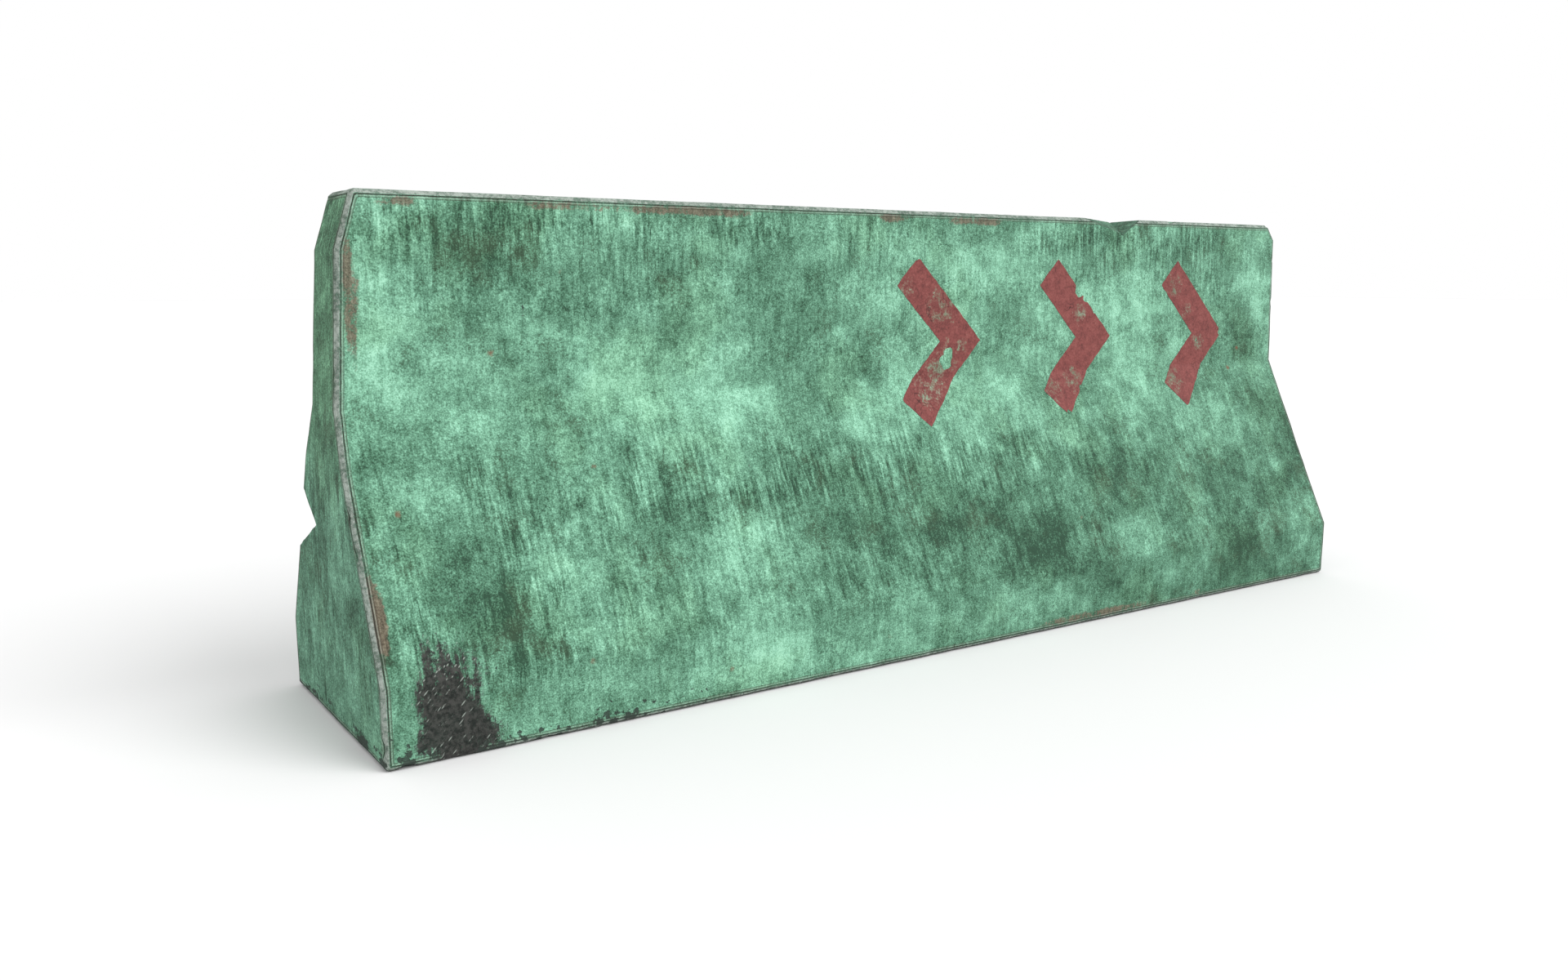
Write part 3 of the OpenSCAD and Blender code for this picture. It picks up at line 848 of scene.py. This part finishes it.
# Places on each film, as [x, z, radius] from its tip: bites and holes, then thin spots
BITES = [
    [(-0.108, -0.030, 0.016), (-0.118, -0.046, 0.017), (-0.108, -0.060, 0.011), (-0.200, 0.206, 0.012)],
    [(-0.116, 0.120, 0.019), (-0.094, 0.104, 0.013), (-0.060, 0.070, 0.010), (-0.088, -0.098, 0.010),
     (-0.130, -0.136, 0.008), (-0.200, -0.190, 0.006)],
    [(0.004, 0.002, 0.017), (-0.112, -0.018, 0.006), (-0.104, -0.028, 0.005), (-0.195, -0.204, 0.010)],
]
THIN = [
    [(-0.125, 0.080, 0.055), (-0.175, -0.105, 0.055), (-0.238, 0.125, 0.035), (-0.115, -0.045, 0.045),
     (-0.060, -0.010, 0.020)],
    [(-0.150, -0.110, 0.040), (-0.235, -0.130, 0.035), (-0.120, 0.060, 0.030)],
    [(-0.215, 0.125, 0.040), (-0.225, -0.125, 0.045), (-0.105, -0.025, 0.030), (-0.160, 0.060, 0.025)],
]
# How far a film's rim lies inside the true outline, and how ragged its rim and its bites are
RIM_INSET, RIM_RAGGED, BITE_RAGGED = 0.0012, 0.0016, 0.008
REDS = [
    (0.32, rgb(76, 40, 38)), (0.48, rgb(126, 65, 62)), (0.58, rgb(147, 79, 75)), (0.78, rgb(166, 106, 98)),
]


def chevron_distance(u, v, rise, arm_w):
    """Signed distance, below 0 inside, from a chevron with its tip at 0, 0 that points to +u."""
    slope = math.sqrt(2)
    outer = (u + abs(v)) / slope
    cap = (abs(v) - u - 2 * rise) / slope
    return max(outer, -arm_w - outer, cap)


def film_distance(x, z, low, high, bites):
    """Signed distance, below 0 inside, from the chevron with ragged edges, bites and holes."""
    rise = (high.z - low.z) / 2
    arm_w = (high.x - low.x - rise) * math.sqrt(2)
    u, v = x - high.x, z - (low.z + high.z) / 2
    here = (x, 0, z)
    worn = chevron_distance(u, v, rise, arm_w) + RIM_INSET + RIM_RAGGED * fbm(here, 45, 4)
    for cu, cv, r in bites:
        worn = max(worn, r + BITE_RAGGED * fbm(here, 55, 3) - math.hypot(u - cu, v - cv))
    return worn


def front_point(x, z, proud):
    """A point that far outside the cast surface of the front."""
    y = -half_w(z)
    return (x, y + sink((x, y, z)) - proud, z)


def film_faces(bm, inside, xs, zs):
    """Marching squares: fills the part of the grid where inside(x, z) is below 0."""
    value = {(i, k): inside(x, z) for i, x in enumerate(xs) for k, z in enumerate(zs)}
    made = {}
    # No crossing lies nearer to a corner than this share of a cell
    clear = 0.03

    def corner(c):
        if c not in made:
            made[c] = bm.verts.new(front_point(xs[c[0]], zs[c[1]], FILM_TOP))
        return made[c]

    def crossing(a, b):
        key = (min(a, b), max(a, b))
        if key not in made:
            (i, k), (j, m) = key
            t = min(1 - clear, max(clear, value[key[0]] / (value[key[0]] - value[key[1]])))
            x, z = (1 - t) * xs[i] + t * xs[j], (1 - t) * zs[k] + t * zs[m]
            made[key] = bm.verts.new(front_point(x, z, FILM_TOP))
        return made[key]

    for i in range(len(xs) - 1):
        for k in range(len(zs) - 1):
            cell = [(i, k), (i + 1, k), (i + 1, k + 1), (i, k + 1)]
            loop = []
            for a, b in zip(cell, cell[1:] + cell[:1]):
                if value[a] < 0:
                    loop.append(corner(a))
                if (value[a] < 0) != (value[b] < 0):
                    loop.append(crossing(a, b))
            if len(loop) > 2:
                bm.faces.new(loop)


def close_film(bm):
    """Gives the sheet a back and rims, so that it is a thin closed solid."""
    rim = [e for e in bm.edges if len(e.link_faces) == 1]
    fronts = list(bm.faces)
    back = {v: bm.verts.new((v.co.x, v.co.y + FILM_TOP + FILM_DEEP, v.co.z)) for v in list(bm.verts)}
    for f in fronts:
        bm.faces.new([back[v] for v in reversed(f.verts)])
    for e in rim:
        loop = e.link_faces[0].loops[0]
        while loop.edge != e:
            loop = loop.link_loop_next
        a, b = loop.vert, loop.link_loop_next.vert
        bm.faces.new([b, a, back[a], back[b]])


def marking(k, mat):
    """One red film, in place of its CAD chevron."""
    low, high = FILMS[k]
    bm = bmesh.new()
    xs = np.arange(low.x - FILM_STEP, high.x + FILM_STEP, FILM_STEP)
    zs = np.arange(low.z - FILM_STEP, high.z + FILM_STEP, FILM_STEP)
    film_faces(bm, lambda x, z: film_distance(x, z, low, high, BITES[k]), xs, zs)
    close_film(bm)
    mesh = bpy.data.meshes.new(f"marking_{k + 1}")
    bm.to_mesh(mesh)
    bm.free()
    obj = new_object(f"marking_{k + 1}", mesh, [mat])
    mark_surface(mesh)
    mid_z = (low.z + high.z) / 2
    places = [(high.x + u, mid_z + v, r, r, 1.0) for u, v, r in THIN[k]]
    x, _, z = points_of(mesh).T
    store(mesh, "thin", blobs(places, x, z))
    shade(mesh)
    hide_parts(f"chevron_{k + 1}")
    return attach(obj, "barrier")


def red_film(tree):
    """Faded red film, worn through to the green in places."""
    def colour(n):
        medium = n.noise(n.place(), 42, 6, 0.7)
        fine = n.noise(n.place(), 190, 4, 0.75)
        tone = n.less(n.total((medium, 0.45), (fine, 0.60)), crack_mask(n), 0.15)
        red = n.colours(tone, REDS)
        ragged = n.total((medium, 1.3), (fine, 0.9))
        worn = n.ramp(n.math("MULTIPLY_ADD", n.field("thin"), 0.34, ragged), 1.36, 1.70, 0, 0.64)
        return n.mix(worn, red, painted(n, tree).outputs["Colour"])

    def normal(n):
        group = painted(n, tree)
        fine = n.bump(group.outputs["Grain"], 0.0006, 0.4)
        return n.bump(group.outputs["Height"], 0.0024, 0.6, fine)
    return material("red_marking", colour, 0.72, normal, specular=0.25)


# ---- Materials of the cage, the sockets and the plugs ----

def rusty_bar():
    """Hot-rolled ribbed bar: mill scale, rust and slanting ribs."""
    def ribs(n):
        wave = n.add("ShaderNodeTexWave", bands_direction="DIAGONAL")
        n.put(wave.inputs["Vector"], n.place())
        n.put(wave.inputs["Scale"], 42.0)
        return wave.outputs["Fac"]

    def colour(n):
        rust = n.ramp(n.noise(n.place(), 60, 6, 0.7), 0.42, 0.60)
        base = n.mix(rust, rgb(84, 74, 68), rgb(138, 74, 40))
        return n.mix(n.ramp(ribs(n), 0.6, 0.9, 0, 0.4), base, rgb(164, 104, 66))

    def roughness(n):
        return n.ramp(n.noise(n.place(), 60, 6, 0.7), 0.4, 0.6, 0.45, 0.9)

    def normal(n):
        scale = n.bump(n.noise(n.place(), 400, 4, 0.7), 0.0004)
        return n.bump(ribs(n), 0.0015, 0.8, scale)
    return material("ribbed_bar", colour, roughness, normal, metallic=0.6)


def annealed_wire():
    """Black tying wire with specks of rust."""
    def colour(n):
        return n.mix(n.ramp(n.noise(n.place(), 90, 4, 0.6), 0.5, 0.7), rgb(38, 38, 40), rgb(86, 58, 42))
    return material("annealed_wire", colour, 0.55, lambda n: n.bump(n.noise(n.place(), 900, 3), 0.0002),
                    metallic=0.8)


def zinc():
    """Galvanised steel with its crystals."""
    crystal_scale = 160

    def colour(n):
        cells = n.cells(n.place(), crystal_scale)
        stain = n.ramp(n.noise(n.place(), 40, 5, 0.6), 0.5, 0.72, 0, 0.5)
        return n.mix(stain, n.mix(cells, rgb(150, 154, 156), rgb(196, 200, 200)), rgb(126, 120, 110))

    def roughness(n):
        return n.ramp(n.cells(n.place(), crystal_scale), 0, 1, 0.32, 0.5)
    return material("galvanised_steel", colour, roughness,
                    lambda n: n.bump(n.noise(n.place(), 500, 4, 0.6), 0.0002), metallic=1.0)


def moulded_plastic(name, dark, pale, scuff):
    """Plastic with a fine moulded grain, dust and scuffs."""
    def colour(n):
        dust = n.ramp(n.noise(n.place(), 75, 6, 0.7), 0.46, 0.70, 0, 0.5)
        slanted = n.place(scale=(1, 7, 1), turn=(0, 0, 0.6))
        scratches = n.ramp(n.noise(slanted, 130, 4, 0.7), 0.66, 0.74, 0, 0.5)
        base = n.mix(n.noise(n.place(), 30, 4), dark, pale)
        return n.mix(scratches, n.mix(dust, base, scuff), scuff)

    def roughness(n):
        return n.ramp(n.noise(n.place(), 75, 6, 0.7), 0.4, 0.7, 0.42, 0.75)
    return material(name, colour, roughness, lambda n: n.bump(n.noise(n.place(), 1400, 3, 0.6), 0.0002, 0.7))


def dress_frame():
    """Materials for the CAD nodes that are shown as they are."""
    bar, wire, steel = rusty_bar(), annealed_wire(), zinc()
    spacer = moulded_plastic("spacer_plastic", rgb(120, 120, 116), rgb(150, 150, 146), rgb(176, 172, 164))
    plug = moulded_plastic("plug_plastic", rgb(22, 23, 24), rgb(40, 41, 42), rgb(104, 100, 92))
    by_slot = {"reinforcing_steel": bar, "tying_wire": wire, "socket_steel": steel,
               "spacer_plastic": spacer, "plug_plastic": plug}
    for part in frame["record"]["subparts"]:
        mat = by_slot.get(part["material_slot"])
        node = frame["nodes"][part["node"]]
        if mat:
            node.data.materials.clear()
            node.data.materials.append(mat)


# ---- Floor, light and camera ----

CAMERA_AT = (-1.9554, -2.3879, 0.8340)
CAMERA_WAY = (0.55467, 0.81609, -0.16229)
LENS, SENSOR = 28.94, 36.0
FLOOR_HALF, FLOOR_GAP = 60, 0.0005
FLOOR_WHITE = (0.718, 0.718, 0.718, 1)
SKY_WHITE, SKY_STRENGTH = (1, 1, 1, 1), 1.0
# Soft suns: [name, way to it, strength, how many degrees wide]
SUNS = [("key", (0.45, -0.70, 0.66), 2.3, 44), ("fill", (-0.25, -0.90, 0.45), 0.35, 60)]


def stage():
    """A plain pale floor, wide enough to reach the horizon."""
    corners = [(x * FLOOR_HALF, y * FLOOR_HALF, 0) for x, y in ((-1, -1), (1, -1), (1, 1), (-1, 1))]
    mesh = bpy.data.meshes.new("floor")
    mesh.from_pydata(corners, [], [(0, 1, 2, 3)])
    floor = new_object("floor", mesh, [material("floor_white", lambda n: FLOOR_WHITE, 0.9, specular=0.1)])
    floor.location.z = LOW.z - FLOOR_GAP


def lights():
    """An even white surround, a soft sun from the right and a weaker one from the left."""
    world = bpy.data.worlds.new("studio")
    world.use_nodes = True
    world.node_tree.nodes["Background"].inputs["Color"].default_value = SKY_WHITE
    world.node_tree.nodes["Background"].inputs["Strength"].default_value = SKY_STRENGTH
    bpy.context.scene.world = world
    for name, way, strength, wide in SUNS:
        data = bpy.data.lights.new(name, "SUN")
        data.energy = strength
        data.angle = math.radians(wide)
        lamp = bpy.data.objects.new(name, data)
        lamp.rotation_euler = Vector(way).to_track_quat("Z", "Y").to_euler()
        bpy.context.scene.collection.objects.link(lamp)


def camera():
    """The camera that the main picture is taken with."""
    data = bpy.data.cameras.new("camera")
    data.lens, data.sensor_width = LENS, SENSOR
    data.clip_end = 200
    obj = bpy.data.objects.new("camera", data)
    obj.location = CAMERA_AT
    obj.rotation_euler = Vector(CAMERA_WAY).to_track_quat("-Z", "Y").to_euler()
    bpy.context.scene.collection.objects.link(obj)
    bpy.context.scene.camera = obj
    bpy.context.scene.view_settings.view_transform = "Standard"


camera()
stage()
lights()
paint = paint_tree()
concrete_body(paint)
film = red_film(paint)
for number in range(len(FILMS)):
    marking(number, film)
dress_frame()
